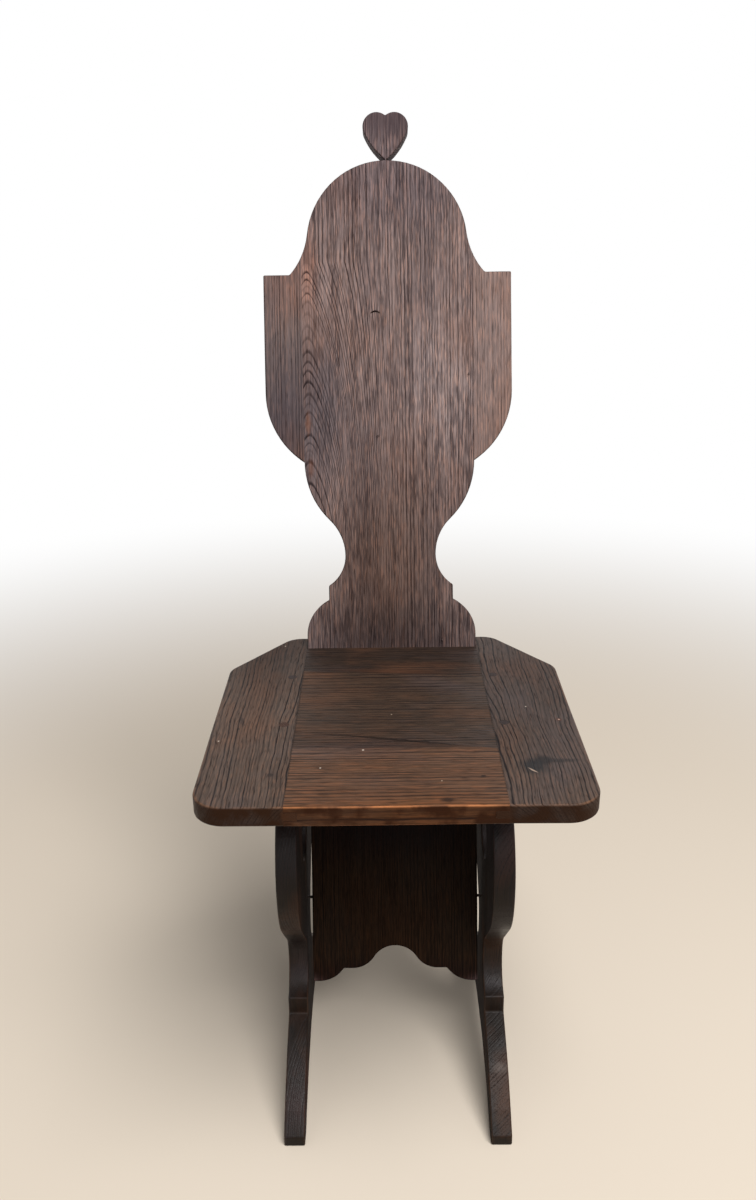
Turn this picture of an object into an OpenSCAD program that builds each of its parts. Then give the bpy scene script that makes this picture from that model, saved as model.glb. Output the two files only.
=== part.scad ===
// Plank side chair in dark stained oak. A raked board carries the seat's rear edge, forms the shaped
// back above it and runs down between two pierced side boards. Front is towards -Y, floor at Z = 0.

/* [Seat] */
// Height of the seat's top above the floor
seat_h = 450; // [400:5:480]
// Width of the seat across its wings
seat_w = 328.6; // [300:0.2:380]
// Depth of the seat from front edge to rear edge
seat_d = 342; // [320:1:380]
// Thickness of the seat's boards
seat_t = 18; // [14:1:24]
// Width of the cross-grained centre panel, between the two wings
panel_w = 178.6; // [160:0.2:184]
// Radius of the seat's rounded front corners
front_corner_r = 27.5; // [10:0.5:40]
// Radius that eases the ends of the clipped rear corners
clip_ease_r = 22; // [6:1:26]
// Length of the rear edge left between each clipped corner and the centre panel
rear_flat_w = 18.2; // [14:0.2:30]
// Front-to-back reach of each clipped rear corner
clip_d = 80; // [60:1:110]
// Distance of the front glue line from the seat's front edge, at the middle
front_glue_y = 109.8; // [80:0.2:140]
// How far the front glue line runs askew from one wing to the other
front_glue_skew = 36; // [0:1:50]
// Distance of the rear glue line from the seat's front edge, at the middle
rear_glue_y = 248.4; // [190:0.2:270]
// How far the rear glue line runs askew from one wing to the other
rear_glue_skew = 14.8; // [0:0.2:30]
// Length of the wings' tongues into the ends of the centre boards
tongue_l = 10.5; // [5:0.5:14]
// Thickness of those tongues
tongue_t = 6.6; // [4:0.2:8]

/* [Back] */
// Thickness of the back board
back_t = 18; // [16:1:24]
// Width of the back board between its glued ears
back_w = 177.6; // [150:0.2:178]
// Lean of the back board from the upright, in degrees
rake = 17.6; // [12:0.2:20]
// Distance of the board's face ahead of the seat's rear edge, at the seat's top
back_inset = 28.2; // [26:0.2:34]
// Width over the two ears
ears_w = 256.4; // [230:0.2:290]
// Height of the ears' square shoulders above the seat, along the board
shoulder_s = 388.4; // [376:0.2:396]
// Height of the centre of the ears' lower curve, along the board
ear_curve_s = 267.4; // [260:0.2:280]
// Radius of the ears' lower curve
ear_curve_r = 85; // [75:1:95]
// Height of the dome's centre above the seat, along the board
dome_s = 419; // [412:0.5:426]
// Radius of the dome
dome_r = 83; // [78:0.5:86]
// Radius of the hollow between dome and shoulder
dome_hollow_r = 74; // [60:1:80]
// Angle at which the dome turns into that hollow, in degrees
dome_turn = 7; // [2:0.5:8]
// Width of the back's waist
waist_w = 95; // [80:0.2:104]
// Height of the waist above the seat, along the board
waist_s = 98.2; // [94:0.2:104]
// Radius of the hollow above the waist
waist_upper_r = 51.4; // [46:0.2:60]
// Radius of the hollow below the waist
waist_lower_r = 37.6; // [34:0.2:42]
// Width over the small upright steps below the waist
step_w = 130.4; // [124:0.2:136]
// Radius of the rounded foot of the back, where it meets the seat
base_r = 40.8; // [36:0.2:44]
// Height of that rounded foot's centre above the seat
base_s = 13.8; // [8:0.2:16]
// Width of the heart on top
heart_w = 46.8; // [40:0.2:56]
// Radius of the heart's two lobes
lobe_r = 14.2; // [13:0.2:16]
// Angle at which the lobes run into the flanks, in degrees
heart_turn = 23.5; // [16:0.5:30]
// Radius of the heart's bowed flanks
heart_side_r = 71; // [60:1:90]
// Height of the heart's widest line above the seat, along the board
heart_s = 535.8; // [533:0.2:539]

/* [Lower end of the back board] */
// Length of the back board below the seat's top, along the board
drop = 363; // [340:1:366]
// Height of the scalloped edge's arch above its lowest corners
scallop_h = 39.4; // [36:0.2:46]
// Height of the small flats beside the arch above the lowest corners
flat_h = 14.4; // [10:0.2:17]
// Radius of the arch's crown
crown_r = 27; // [24:0.5:30]
// Radius of the hollow that leads from the crown to the flat
valley_r = 28; // [24:0.5:32]
// Radius of the rounded corner lobes
corner_lobe_r = 33; // [28:0.5:38]
// Distance of each lobe's inner end from the board's edge
lobe_w = 33; // [29:0.5:36]

/* [Side boards] */
// Thickness of the side boards
side_t = 21; // [16:1:24]
// Width over the outer faces of the two side boards
sides_w = 230.4; // [226:0.2:250]
// Distance of the side boards' centre line ahead of the back board's face, at the seat's top
side_reach = 77; // [73:1:81]
// Half the length of the top edge that carries the seat
top_half = 105; // [103:1:108]
// Height of the square shoulder under the seat
top_fillet = 24; // [20:1:30]
// Distance of each round belly's centre from the centre line
belly_x = 16; // [0:1:30]
// Height of the bellies' centres above the floor
belly_z = 269; // [262:1:276]
// Radius of the round bellies
belly_r = 89; // [84:1:94]
// Radius of the round piercing
pierce_r = 29; // [20:1:34]
// Height of the piercing's centre above the floor
pierce_z = 273; // [262:1:284]
// Radius of the throat between belly and waist
throat_r = 34; // [26:1:40]
// Height of the throat's centre above the floor
throat_z = 139; // [136:1:145]
// Half the width of the narrow waist
neck_half = 27; // [24:0.2:32]
// Height of the narrow waist above the floor
neck_z = 134; // [130:0.2:136]
// Radius of the hollow between waist and foot
cove_r = 34; // [31:0.5:37]
// Half the width over the upright steps above the feet
foot_step_half = 54.6; // [50:0.2:59]
// Height of the lower end of those steps above the floor
foot_step_z = 81; // [76:0.2:86]
// Distance of each toe's end from the centre line
toe_half = 154.2; // [146:0.2:164]
// Height of the toes' square ends
toe_h = 11.4; // [8:0.2:16]
// Rise of the feet's curved tops above the straight line
foot_bow = 6.2; // [2:0.2:8]
// Length of each toe that stands on the floor
toe_l = 17; // [12:1:26]
// Height of the low arch between the toes
arch_h = 38; // [24:1:44]

/* [Pegs and nails] */
// Diameter of the pegs through the wings
peg_d = 9; // [6:0.5:10]
// Length of the pegs
peg_l = 38; // [28:1:40]
// Distance of the pegs' axes from the side boards' inner faces
peg_in = 5.4; // [5.4:0.2:10]
// Distance of the front pegs ahead of the side boards' centre line
front_peg_reach = 96.2; // [80:0.2:98]
// Distance of the rear pegs behind the side boards' centre line
rear_peg_reach = 5.8; // [0:0.2:32]
// Diameter of the nails through the side boards
nail_d = 3; // [2:0.2:4]
// Length of those nails
nail_l = 60; // [50:1:70]
// Diameter of the nails' heads
nail_head_d = 6.5; // [5:0.5:8]
// Thickness of the nails' heads
nail_head_t = 1.5; // [1:0.1:2]
// Depth of the upper nails below the seat's top, along the back board
upper_nail_s = 140; // [130:1:150]
// Depth of the lower nails below the seat's top, along the back board
lower_nail_s = 272; // [260:1:285]
// Play around pegs, nails and tongues
play = 0.1; // [0.05:0.01:0.2]

/* [Hidden] */
$fn = 48;
arc_step = 5;
past = 1;
back_color = "#3b241a";
wing_color = "#46291c";
panel_color = "#5a331e";
side_color = "#2c1b15";
peg_color = "#2a1a12";
nail_color = "#3c3a38";

half = back_w / 2;
seat_half = seat_w / 2;
panel_half = panel_w / 2;
side_in = sides_w / 2 - side_t;
under_seat = seat_h - seat_t;
heart_top = heart_s + lobe_r;
// Places behind the seat's front edge: back board, side boards' centre line, pegs
back_y = seat_d - back_inset;
side_y = back_y - side_reach;
peg_ys = [side_y - front_peg_reach, side_y + rear_peg_reach];
// The whole chair is centred front to back on the origin
depth = back_y + heart_top * sin(rake) + back_t * cos(rake);
seat_front = -depth / 2;

// Points of a round arc about c, from one angle to another
function arc(c, r, from, to) =
    let (n = max(1, ceil(abs(to - from) / arc_step)))
    [for (i = [0 : n]) let (a = from + (to - from) * i / n) c + r * [cos(a), sin(a)]];

// Angle at which the point p is seen from c, from -180 to 180
function bearing(c, p) = atan2(p[1] - c[1], p[0] - c[0]);

// Points of the shallow arc from p to q that rises by h to the right of that way
function bow(p, q, h) =
    let (half_chord = norm(q - p) / 2, r = (half_chord * half_chord + h * h) / (2 * h),
         along = (q - p) / (2 * half_chord), left = [-along[1], along[0]],
         c = (p + q) / 2 + (r - h) * left, a = bearing(c, p), sweep = 2 * asin(half_chord / r))
    arc(c, r, a, a + sweep);

// Points that round the corner b of the path a, b, c
function eased(a, b, c, r) =
    let (u = (a - b) / norm(a - b), v = (c - b) / norm(c - b), wedge = acos(u * v) / 2,
         reach = r / tan(wedge), m = b + (u + v) / norm(u + v) * r / sin(wedge),
         from = bearing(m, b + u * reach), to = bearing(m, b + v * reach),
         turn = to - from, sweep = turn > 180 ? turn - 360 : turn < -180 ? turn + 360 : turn)
    arc(m, r, from, from + sweep);

// Where two round lines cross, on the right-hand side of the way from c1 to c2
function crossing(c1, r1, c2, r2) =
    let (d = norm(c2 - c1), u = (c2 - c1) / d, a = (r1 * r1 - r2 * r2 + d * d) / (2 * d))
    c1 + a * u + sqrt(r1 * r1 - a * a) * [u[1], -u[0]];

// Height at which the lower half of a round line passes x
function low_at(c, r, x) = c[1] - sqrt(r * r - (x - c[0]) * (x - c[0]));

function mirrored(points) = [for (i = [len(points) - 1 : -1 : 0]) [-points[i][0], points[i][1]]];

// The back's outline: its right half, in the board's own plane, from the seat's top
ear_c = [ears_w / 2 - ear_curve_r, ear_curve_s];
notch_s = low_at(ear_c, ear_curve_r, half);
hollow_c = [0, dome_s] + (dome_r + dome_hollow_r) * [cos(dome_turn), sin(dome_turn)];
hollow_corner_x = hollow_c[0] - sqrt(pow(dome_hollow_r, 2) - pow(shoulder_s - hollow_c[1], 2));
hollow_glue_s = low_at(hollow_c, dome_hollow_r, half);
glue_bearing = bearing(hollow_c, [half, hollow_glue_s]) + 360;
corner_bearing = bearing(hollow_c, [hollow_corner_x, shoulder_s]) + 360;

waist_half = waist_w / 2;
upper_c = [waist_half + waist_upper_r, waist_s];
lower_c = [waist_half + waist_lower_r, waist_s];
step_half = step_w / 2;
step_top_s = low_at(lower_c, waist_lower_r, step_half);
base_c = [half - base_r, base_s];
base_turn = acos((step_half - base_c[0]) / base_r);
// The swell above the waist meets the waist's hollow and the notch smoothly
swell_dx = upper_c[0] - half;
swell_ds = notch_s - waist_s;
swell_r = (pow(swell_dx, 2) + pow(swell_ds, 2) - pow(waist_upper_r, 2)) / (2 * (waist_upper_r - swell_dx));
swell_c = [half - swell_r, notch_s];
swell_turn = bearing(upper_c, swell_c);

lobe_c = [heart_w / 2 - lobe_r, heart_s];
heart_side_c = lobe_c - (heart_side_r - lobe_r) * [cos(heart_turn), -sin(heart_turn)];
heart_foot = crossing([0, dome_s], dome_r, heart_side_c, heart_side_r);
cleft_turn = acos(-lobe_c[0] / lobe_r);

crown_c = [0, scallop_h - drop - crown_r];
valley_s = flat_h - drop;
valley_x = sqrt(pow(crown_r + valley_r, 2) - pow(valley_s + valley_r - crown_c[1], 2));
valley_c = [valley_x, valley_s + valley_r];
crown_turn = bearing(crown_c, valley_c);
lobe_in_x = half - lobe_w;
corner_c = [lobe_in_x + sqrt(pow(corner_lobe_r, 2) - pow(corner_lobe_r - flat_h, 2)), corner_lobe_r - drop];

scallop_edge = concat(
    arc(crown_c, crown_r, 90, crown_turn),
    arc(valley_c, valley_r, crown_turn + 180, 270),
    arc(corner_c, corner_lobe_r, bearing(corner_c, [lobe_in_x, valley_s]) + 360, 270),
    [[half, -drop]]);
waist_edge = concat(
    arc(base_c, base_r, 0, base_turn),
    arc(lower_c, waist_lower_r, bearing(lower_c, [step_half, step_top_s]) + 360, 180),
    arc(upper_c, waist_upper_r, 180, swell_turn),
    arc(swell_c, swell_r, swell_turn - 180, 0));
crest_edge = concat(
    arc(hollow_c, dome_hollow_r, glue_bearing, dome_turn + 180),
    arc([0, dome_s], dome_r, dome_turn, bearing([0, dome_s], heart_foot)),
    arc(heart_side_c, heart_side_r, bearing(heart_side_c, heart_foot), -heart_turn),
    arc(lobe_c, lobe_r, -heart_turn, cleft_turn));
board_half = concat(scallop_edge, waist_edge, crest_edge);
ear_edge = concat(
    arc(ear_c, ear_curve_r, bearing(ear_c, [half, notch_s]), 0),
    [[ears_w / 2, shoulder_s]],
    arc(hollow_c, dome_hollow_r, corner_bearing, glue_bearing));

// The side boards' outline: one half, from the centre line outwards and upwards
arch_r = (pow(toe_half - toe_l, 2) + arch_h * arch_h) / (2 * arch_h);
arch_c = [0, arch_h - arch_r];
cove_c = [neck_half + cove_r, neck_z];
foot_step_top = low_at(cove_c, cove_r, foot_step_half);
belly_c = [belly_x, belly_z];
// A straight line, tangent to both, leads from the belly into the throat
throat_c = [neck_half + throat_r, throat_z];
throat_turn = bearing(belly_c, throat_c) + acos((belly_r + throat_r) / norm(throat_c - belly_c));
ledge_dx = top_half - belly_x;
ledge_dz = under_seat - top_fillet - belly_z;
top_cove_r = (ledge_dx * ledge_dx + ledge_dz * ledge_dz - belly_r * belly_r) / (2 * (belly_r + ledge_dz));
top_cove_c = [top_half, belly_z + ledge_dz - top_cove_r];

side_half = concat(
    arc(arch_c, arch_r, 90, bearing(arch_c, [toe_half - toe_l, 0])),
    [[toe_half, 0]],
    bow([toe_half, toe_h], [foot_step_half, foot_step_z], foot_bow),
    arc(cove_c, cove_r, bearing(cove_c, [foot_step_half, foot_step_top]) + 360, 180),
    arc(throat_c, throat_r, 180, throat_turn + 180),
    arc(belly_c, belly_r, throat_turn, bearing(belly_c, top_cove_c)),
    arc(top_cove_c, top_cove_r, bearing(top_cove_c, belly_c) + 360, 90),
    [[top_half, under_seat]]);

// The wings' outline in plan, for the right-hand one
clip_outer = [seat_half, seat_d - clip_d];
clip_inner = [panel_half + rear_flat_w, seat_d];
wing_edge = concat(
    [[panel_half, 0]],
    eased([panel_half, 0], [seat_half, 0], clip_outer, front_corner_r),
    eased([seat_half, 0], clip_outer, clip_inner, clip_ease_r),
    eased(clip_outer, clip_inner, [panel_half, seat_d], clip_ease_r),
    [[panel_half, seat_d]]);

// Frame of the leaning board: X across, Y into its thickness, Z up along its face
module on_rake() {
    translate([0, seat_front + back_y, seat_h]) rotate([-rake, 0, 0]) children();
}

module upright(points, t) {
    translate([0, t, 0]) rotate([90, 0, 0]) linear_extrude(t) polygon(points);
}

// Everything behind the leaning board's face, for trimming what butts against it
module behind_board() {
    on_rake() translate([-seat_w, 0, -4 * seat_t]) cube([2 * seat_w, seat_d, 8 * seat_t]);
}

module at_nails(r_extra = 0) {
    for (side = [-1, 1], s = [upper_nail_s, lower_nail_s])
        on_rake() translate([side * sides_w / 2, back_t / 2, -s]) rotate([0, -90 * side, 0])
            union() {
                cylinder(d = nail_d + 2 * r_extra, h = nail_l + r_extra);
                cylinder(d = nail_head_d + 2 * r_extra, h = nail_head_t);
            }
}

module at_pegs(r_extra = 0, top = 0) {
    for (side = [-1, 1], y = peg_ys)
        translate([side * (side_in + peg_in), seat_front + y, seat_h - peg_l])
            cylinder(d = peg_d + 2 * r_extra, h = peg_l + top);
}

module back_board() {
    color(back_color) difference() {
        on_rake() upright(concat(board_half, mirrored(board_half)), back_t);
        at_nails(play);
    }
}

module right_ear_shape() {
    on_rake() upright(ear_edge, back_t);
}

module back_left_ear() {
    color(back_color) mirror([1, 0, 0]) right_ear_shape();
}

module back_right_ear() {
    color(back_color) right_ear_shape();
}

// A cross-grained board of the centre panel, between two lines given at their left and right ends
module centre_board(front_left, front_right, rear_left, rear_right) {
    groove_t = tongue_t + 2 * play;
    color(panel_color) difference() {
        translate([0, seat_front, under_seat]) linear_extrude(seat_t)
            polygon([[-panel_half, front_left], [panel_half, front_right],
                     [panel_half, rear_right], [-panel_half, rear_left]]);
        for (side = [-1, 1])
            translate([side * panel_half, seat_front + seat_d / 2, seat_h - seat_t / 2])
                cube([2 * (tongue_l + play), seat_d + 2 * past, groove_t], center = true);
        behind_board();
    }
}

module seat_front_board() {
    skew = front_glue_skew / 2;
    centre_board(0, 0, front_glue_y + skew, front_glue_y - skew);
}

module seat_middle_board() {
    front_skew = front_glue_skew / 2;
    rear_skew = rear_glue_skew / 2;
    centre_board(front_glue_y + front_skew, front_glue_y - front_skew,
                 rear_glue_y + rear_skew, rear_glue_y - rear_skew);
}

module seat_rear_board() {
    skew = rear_glue_skew / 2;
    centre_board(rear_glue_y + skew, rear_glue_y - skew, seat_d, seat_d);
}

module right_wing_shape() {
    translate([0, seat_front, under_seat]) linear_extrude(seat_t) polygon(wing_edge);
    difference() {
        translate([panel_half - tongue_l, seat_front, seat_h - seat_t / 2 - tongue_t / 2])
            cube([tongue_l + past, seat_d, tongue_t]);
        behind_board();
    }
}

module seat_left_wing() {
    color(wing_color) difference() {
        mirror([1, 0, 0]) right_wing_shape();
        at_pegs(play, past);
    }
}

module seat_right_wing() {
    color(wing_color) difference() {
        right_wing_shape();
        at_pegs(play, past);
    }
}

// A side board, its inner face at x_in and its thickness towards +X
module side_shape(x_in) {
    difference() {
        translate([x_in, seat_front + side_y, 0]) rotate([90, 0, 90]) linear_extrude(side_t)
            polygon(concat(side_half, mirrored(side_half)));
        translate([x_in - past, seat_front + side_y, pierce_z]) rotate([0, 90, 0])
            cylinder(r = pierce_r, h = side_t + 2 * past);
        at_pegs(play);
        at_nails(play);
    }
}

module left_side_board() {
    color(side_color) side_shape(-side_in - side_t);
}

module right_side_board() {
    color(side_color) side_shape(side_in);
}

module seat_pegs() {
    color(peg_color) at_pegs();
}

module side_nails() {
    color(nail_color) at_nails();
}

back_board();
back_left_ear();
back_right_ear();
seat_front_board();
seat_middle_board();
seat_rear_board();
seat_left_wing();
seat_right_wing();
left_side_board();
right_side_board();
seat_pegs();
side_nails();
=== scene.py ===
"""Plank side chair in dark stained oak: worn arrises, open-grained boards and a plain studio."""

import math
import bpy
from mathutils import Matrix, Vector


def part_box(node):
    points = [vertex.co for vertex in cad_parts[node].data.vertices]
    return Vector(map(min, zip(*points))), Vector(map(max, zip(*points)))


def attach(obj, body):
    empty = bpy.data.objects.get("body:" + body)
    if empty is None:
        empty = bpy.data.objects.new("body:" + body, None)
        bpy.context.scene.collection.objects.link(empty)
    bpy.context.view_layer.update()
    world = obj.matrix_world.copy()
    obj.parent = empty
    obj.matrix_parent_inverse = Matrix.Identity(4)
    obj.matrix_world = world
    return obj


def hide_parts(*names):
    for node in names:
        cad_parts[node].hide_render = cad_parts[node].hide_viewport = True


bl_info = {
    "name": "Plank side chair",
    "version": (1, 0, 0),
    "blender": (4, 5, 0),
    "location": "View3D > Sidebar > Plank Chair",
    "description": "Dresses the boards of a plank side chair in dark stained oak and sets its stage",
    "category": "Object",
}

import bpy
from bpy.props import FloatProperty, FloatVectorProperty, PointerProperty
from mathutils import Matrix, Vector, noise

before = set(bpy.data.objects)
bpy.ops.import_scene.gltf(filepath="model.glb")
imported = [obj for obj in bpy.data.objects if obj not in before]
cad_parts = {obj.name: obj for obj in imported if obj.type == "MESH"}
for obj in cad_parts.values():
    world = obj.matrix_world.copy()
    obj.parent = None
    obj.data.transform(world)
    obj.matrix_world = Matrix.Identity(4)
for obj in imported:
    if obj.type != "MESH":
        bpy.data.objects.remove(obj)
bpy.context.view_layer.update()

MM = 0.001
RAKE = math.radians(17.6)
# Places that the frame gives, in metres
SEAT_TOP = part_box("seat_pegs")[1][2]
SEAT_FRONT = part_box("seat_front_board")[0][1]
BACK_FACE_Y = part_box("seat_rear_board")[1][1]
PANEL_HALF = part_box("seat_front_board")[1][0]
BACK_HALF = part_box("back_board")[1][0]
SIDE_MIDDLE_Y = (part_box("left_side_board")[0][1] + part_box("left_side_board")[1][1]) / 2
SEAT_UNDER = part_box("seat_front_board")[0][2]

# The photograph's camera: a 756 x 1200 frame, lengths in its pixels
FRAME_W = 756
FRAME_H = 1200
FOCAL_PX = 1057.746
CENTRE_PX = (369.612, 618.425)
CAMERA_AT = (-0.0083, -0.9634, 0.8941)
CAMERA_PITCH = math.radians(21.7593)
CAMERA_ROLL = math.radians(1.0293)
CAMERA_YAW = math.radians(-0.8027)
SENSOR_MM = 36

# Meshes: how near counts as one point, how flat as one face, and where a bend counts as an arris
MERGE = 0.01 * MM
FLAT = math.radians(0.4)
ARRIS_BEND = math.radians(30)
SHORTEST_ARRIS = 0.8 * MM
SMOOTH_BEND = math.radians(32)
# How near a joint's plane a point still counts as on it
NEAR = 0.5 * MM
# Spacing of the cuts that let a board's faces stray, and the share of it kept clear of cuts at either end
GRID_STEP = 17 * MM
GRID_END = 0.2
# The unevenness of hand work: its seed, so that each run gives the same, its slow and its quick waves in a
# metre, and the share and the place of the quick ones
HAND_SEED = 6
SLOW_WAVES = 8
QUICK_WAVES = 31
QUICK_SHARE = 0.3
QUICK_SHIFT = Vector((7, 3, 5))

# Details of the back in millimetres, across from its middle and up the board from the seat's top: the
# heights between which the ears are glued on, the old pin holes and the nick
EARS_MM = (180, 402)
PIN_HOLES_MM = ((53.9, 8.0), (83.8, 285.3), (-10.8, 223.0))
PIN_HOLE_DEEP = 3 * MM
# The radius of a pin hole's tip is this share of the hole's diameter
PIN_HOLE_TIP = 0.36
NICK_MM = (-12.9, 350)
NICK_DEEP = 0.8 * MM
# The rise of the nick's curve is this share of its width
NICK_RISE = 0.22
# A place on the joint of panel and wing, in millimetres, and the panel's arris as a share of the wings'
JOINT_X = PANEL_HALF / MM
JOINT_Y = -80
PANEL_ARRIS = 0.8
SPECK = "#cfc0b0"
FIXING_ARRIS = 0.5 * MM
NAIL_ARRIS = 0.3 * MM

# The stage, in metres: what the lamps look at, and the floor's disk
LAMPS_AIM = Vector((0, 0, 0.55))
FLOOR_RADIUS = 12
FLOOR_SIDES = 96


def linear(colour):
    """An sRGB hex colour as linear red, green and blue."""
    parts = [int(colour[i : i + 2], 16) / 255 for i in (1, 3, 5)]
    return tuple(c / 12.92 if c <= 0.04045 else ((c + 0.055) / 1.055) ** 2.4 for c in parts)


def tint(name, words, colour):
    """A colour that the user can change."""
    return FloatVectorProperty(
        name=name, description=words, subtype="COLOR", size=3, min=0, max=1, default=linear(colour)
    )


def length(name, words, size_mm, most_mm):
    """A length that the user can change."""
    return FloatProperty(
        name=name, description=words, subtype="DISTANCE", unit="LENGTH", precision=4,
        min=0, max=most_mm * MM, default=size_mm * MM,
    )


class ChairShape(bpy.types.PropertyGroup):
    back_arris: length("Back arris", "Worn round of the back's edges", 1.3, 3)
    seat_arris: length("Seat arris", "Worn round of the seat's edges", 2.2, 4)
    side_arris: length("Side arris", "Worn round of the side boards' edges", 1.6, 4)
    joint_arris: length("Joint arris", "Broken edge along the glued joints", 0.06, 1)
    waviness: length("Waviness", "How far hand work strays from the straight line", 0.45, 1)
    nick_w: length("Nick", "Width of the curved nick in the back", 9, 20)
    pin_hole_d: length("Pin hole", "Diameter of the old pin holes", 1.9, 4)


class ChairFinish(bpy.types.PropertyGroup):
    # The back's and the ears' colours are lighter and greyer than their stain: a painted sheen, for the haze
    # that the back's face mirrors; the left ear is darker, painted shade on that side
    back_light_and_sheen: tint("Back, light", "Stained oak of the back board between its lines", "#95807b")
    back_deep_and_sheen: tint("Back, deep", "Stained oak of the back board in its darker streaks", "#544543")
    left_ear: tint("Left ear", "Stained oak of the left ear", "#7a6a67")
    right_ear: tint("Right ear", "Stained oak of the right ear", "#957f79")
    front_board: tint("Front board", "Stained oak of the seat's front board", "#634837")
    middle_board: tint("Middle board", "Stained oak of the seat's middle board", "#44352b")
    rear_board: tint("Rear board", "Stained oak of the seat's rear board", "#372b24")
    wings: tint("Wings", "Stained oak of the seat's wings", "#5c4b41")
    sides: tint("Side boards", "Stained oak of the side boards", "#20160f")
    pegs: tint("Pegs", "End grain of the pegs", "#352a28")
    grain_line: tint("Grain lines", "Open early wood, dark with stain", "#241a1b")
    pores: tint("Pores", "Pores filled with old stain and wax", "#241a18")
    warm: tint("Warm patches", "Places rubbed through to the warmer brown", "#84563b")
    cool: tint("Cool patches", "Places where dust and wax have greyed the stain", "#5f5558")
    worn: tint("Worn arris", "Arrises rubbed pale by use", "#a26f4b")
    # The colour of the painted shade on the seat's edge faces
    seat_edge_shade: tint("Seat edge", "Stain warmed by hands on the seat's edges", "#2c1606")
    iron: tint("Iron", "Hand-forged nail heads under old stain", "#3a3431")


class ChairStage(bpy.types.PropertyGroup):
    floor: tint("Floor", "Plain pale floor near the chair", "#f0e2d0")
    floor_bounce: tint("Floor, unseen", "How the floor throws light back at the chair", "#5c5249")
    floor_clear: FloatProperty(
        name="Clear radius", description="Where the floor starts to fade to white", unit="LENGTH", default=0.7
    )
    floor_white: FloatProperty(
        name="White radius", description="Where the floor has faded to white", unit="LENGTH", default=2.2
    )
    sky: FloatProperty(name="Sky", description="Strength of the even light all round", default=0.26)
    key_power: FloatProperty(
        name="Key lamp", description="Power of the large soft lamp", unit="POWER", default=95
    )
    fill_power: FloatProperty(
        name="Fill lamp", description="Power of the small soft lamp", unit="POWER", default=8
    )


def add(tree, kind, inputs=(), output=0, **settings):
    """Adds a node with its settings, sets or links its inputs, and gives one of its outputs."""
    node = tree.nodes.new("ShaderNode" + kind)
    for name, value in settings.items():
        setattr(node, name, value)
    for key, value in dict(inputs).items():
        if isinstance(value, bpy.types.NodeSocket):
            tree.links.new(value, node.inputs[key])
        else:
            node.inputs[key].default_value = value
    return node.outputs[output]


def new_material(name):
    """An empty material and its node tree."""
    material = bpy.data.materials.new(name)
    material.use_nodes = True
    material.node_tree.nodes.clear()
    return material, material.node_tree


def rgba(colour, share=1.0):
    """A colour for a socket, darkened to a share of itself."""
    return deeper(colour, share) + (1.0,)


def deeper(colour, share):
    """A share of a colour."""
    return tuple(c * share for c in colour)


# How much lighter and warmer than the stain the wood is that shows between its pores
FLECK = (1.75, 1.42, 1.2)

# How the wood's patterns repeat in a metre: across the grain, into the board and along the grain
RIPPLES = (60, 60, 26)
STREAKS = (120, 120, 5)
PATCHES = (16, 16, 8)
WEAR = 45.0
SWELLS = 38.0
RAGGED = 160.0
# Lengths of one repeat in the same directions, in millimetres. Real pores are a third of a millimetre wide:
# they are drawn three times as wide, to show
BREAK_MM = (6, 6, 45)
PORE_MM = (1.0, 1.0, 14)
FIBRE_ALONG_MM = 24
FLECK_ALONG_MM = 16
FLECK_SHIFT = (5, 3, 8)
# Growth rings: how far from the pith they slope, and how slowly and how much the years differ in width
SLOPE_MM = (12, 95)
YEARS_WAVE = 0.16
YEARS_SWING = 3.5
# What one pattern adds to another: pores gather in the early wood, fibres carry the tone, pores are dull
EARLY_PORES = 0.12
FIBRE_TONE = 2.0
PORE_DULL = 0.15
# The surface's relief, and how much each pattern lifts or lowers it
RELIEF = 0.35 * MM
SWELL_LIFT = 2.6
EARLY_LIFT = -0.7
FIBRE_LIFT = -0.5
PORE_LIFT = -0.5
# The slant of a face is at most a quarter, and this makes it a whole
WHOLE_SLANT = 4
# Old marks: how far their edges stray, as a share of their size and at most, and how deep they reach
STRAY = 1.4
STRAY_MOST_MM = 4
MARK_DEEP_MM = 4

# Iron: its rust, how its pits repeat in a metre, and their relief
RUST = "#4a2f22"
PITS = 900.0
PIT_RELIEF = 0.25 * MM

# Settings of a node that mixes two colours
BLEND = {"output": 2, "data_type": "RGBA"}

# A board's own directions: across its grain and into its thickness; the grain runs along their cross product
BACK_FRAME = (
    Vector((1, 0, 0)),
    Vector((0, math.cos(RAKE), -math.sin(RAKE))),
    Vector((0, BACK_FACE_Y, SEAT_TOP)),
)
BACK_UP = BACK_FRAME[0].cross(BACK_FRAME[1])
CENTRE_FRAME = (Vector((0, 1, 0)), Vector((0, 0, 1)), Vector((0, 0, SEAT_TOP)))
WING_FRAME = (Vector((-1, 0, 0)), Vector((0, 0, 1)), Vector((0, 0, SEAT_TOP)))
SIDE_FRAME = (Vector((0, 1, 0)), Vector((-1, 0, 0)), Vector((0, SIDE_MIDDLE_Y, 0)))


def on_back(x, s):
    """The point of the back's face x to the right of the middle and s up the board, in millimetres."""
    return Vector((x * MM, BACK_FACE_Y + s * MM * math.sin(RAKE), SEAT_TOP + s * MM * math.cos(RAKE)))


def on_seat(x, y):
    """The point of the seat's top at x and y, in millimetres."""
    return Vector((x * MM, y * MM, SEAT_TOP))


def on_side(x, y, z):
    """A point of a side board, in millimetres."""
    return Vector((x, y, z)) * MM


def repeats(*sizes_mm):
    """The scale of a pattern that repeats at these lengths."""
    return tuple(1 / (size * MM) for size in sizes_mm)


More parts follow.
